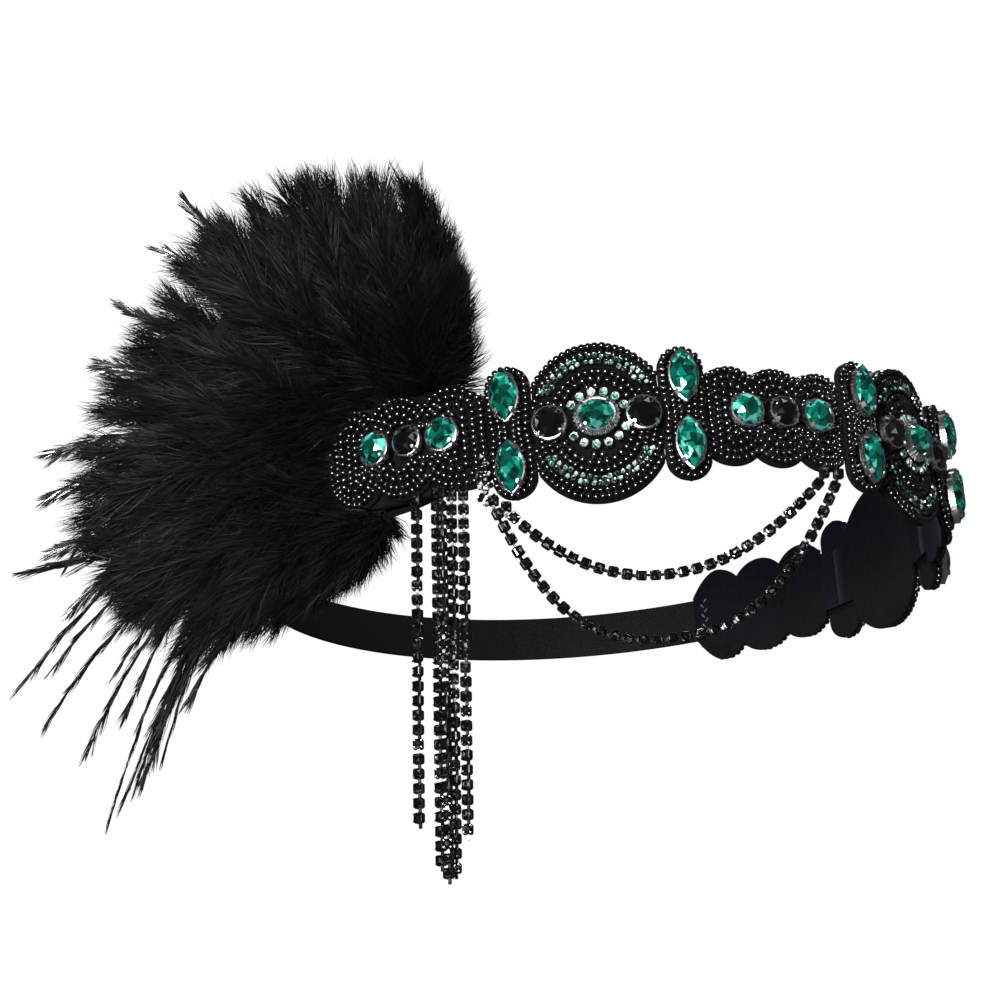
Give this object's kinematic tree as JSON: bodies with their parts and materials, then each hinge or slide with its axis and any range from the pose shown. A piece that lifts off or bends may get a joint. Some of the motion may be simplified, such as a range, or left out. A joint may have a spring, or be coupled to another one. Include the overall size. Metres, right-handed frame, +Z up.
{
  "type": "flapper feather headband",
  "caption": "Beaded headband with green and black stones, an elastic back, a black feather plume, a chain fringe and hanging chain swags on the wearer's right.",
  "frame": {"origin": "middle of the head opening, half way up the band", "axes": "+Z up as worn, -Y towards the wearer's front at the centre medallion, -X towards the wearer's right, where the plume is"},
  "size_m": [0.2114, 0.1912, 0.1816],
  "materials": {
    "beads": "glossy black seed beads",
    "felt": "black velvet felt",
    "elastic": "black woven elastic",
    "feather": "soft black feather",
    "green_stone": "cut and foiled",
    "black_stone": "cut and polished",
    "metal": "gunmetal cups"
  },
  "bodies": {
    "root": {"medallion_centre": "beads", "medallion_right": "beads", "medallion_left": "beads", "link_panel_right": "beads", "link_panel_left": "beads", "end_panel_right": "beads", "end_panel_left": "beads", "plaque_1": "beads", "plaque_2": "beads", "plaque_3": "beads", "plaque_4": "beads", "plaque_5": "beads", "plaque_6": "beads", "inner_patch": "felt", "feather_felt": "felt", "elastic_band": "elastic", "feather_plume": "feather", "round_stone_1": "green_stone", "round_stone_2": "green_stone", "round_stone_3": "green_stone", "round_stone_4": "green_stone", "round_stone_5": "green_stone", "round_stone_6": "green_stone", "round_stone_7": "green_stone", "round_stone_8": "green_stone", "oval_stone_1": "green_stone", "oval_stone_2": "green_stone", "oval_stone_3": "green_stone", "pointed_stone_1": "green_stone", "pointed_stone_2": "green_stone", "pointed_stone_3": "green_stone", "pointed_stone_4": "green_stone", "pointed_stone_5": "green_stone", "pointed_stone_6": "green_stone", "pointed_stone_7": "green_stone", "pointed_stone_8": "green_stone", "pointed_stone_9": "green_stone", "pointed_stone_10": "green_stone", "pointed_stone_11": "green_stone", "pointed_stone_12": "green_stone", "black_stone_1": "black_stone", "black_stone_2": "black_stone", "black_stone_3": "black_stone", "black_stone_4": "black_stone", "black_stone_5": "black_stone", "black_stone_6": "black_stone", "black_stone_7": "black_stone", "black_stone_8": "black_stone", "black_stone_9": "black_stone", "black_stone_10": "black_stone", "fringe_strand_1": "metal", "fringe_strand_2": "metal", "fringe_strand_3": "metal", "fringe_strand_4": "metal", "fringe_strand_5": "metal", "swag_inner": "metal", "swag_outer": "metal"}
  },
  "joints": []
}
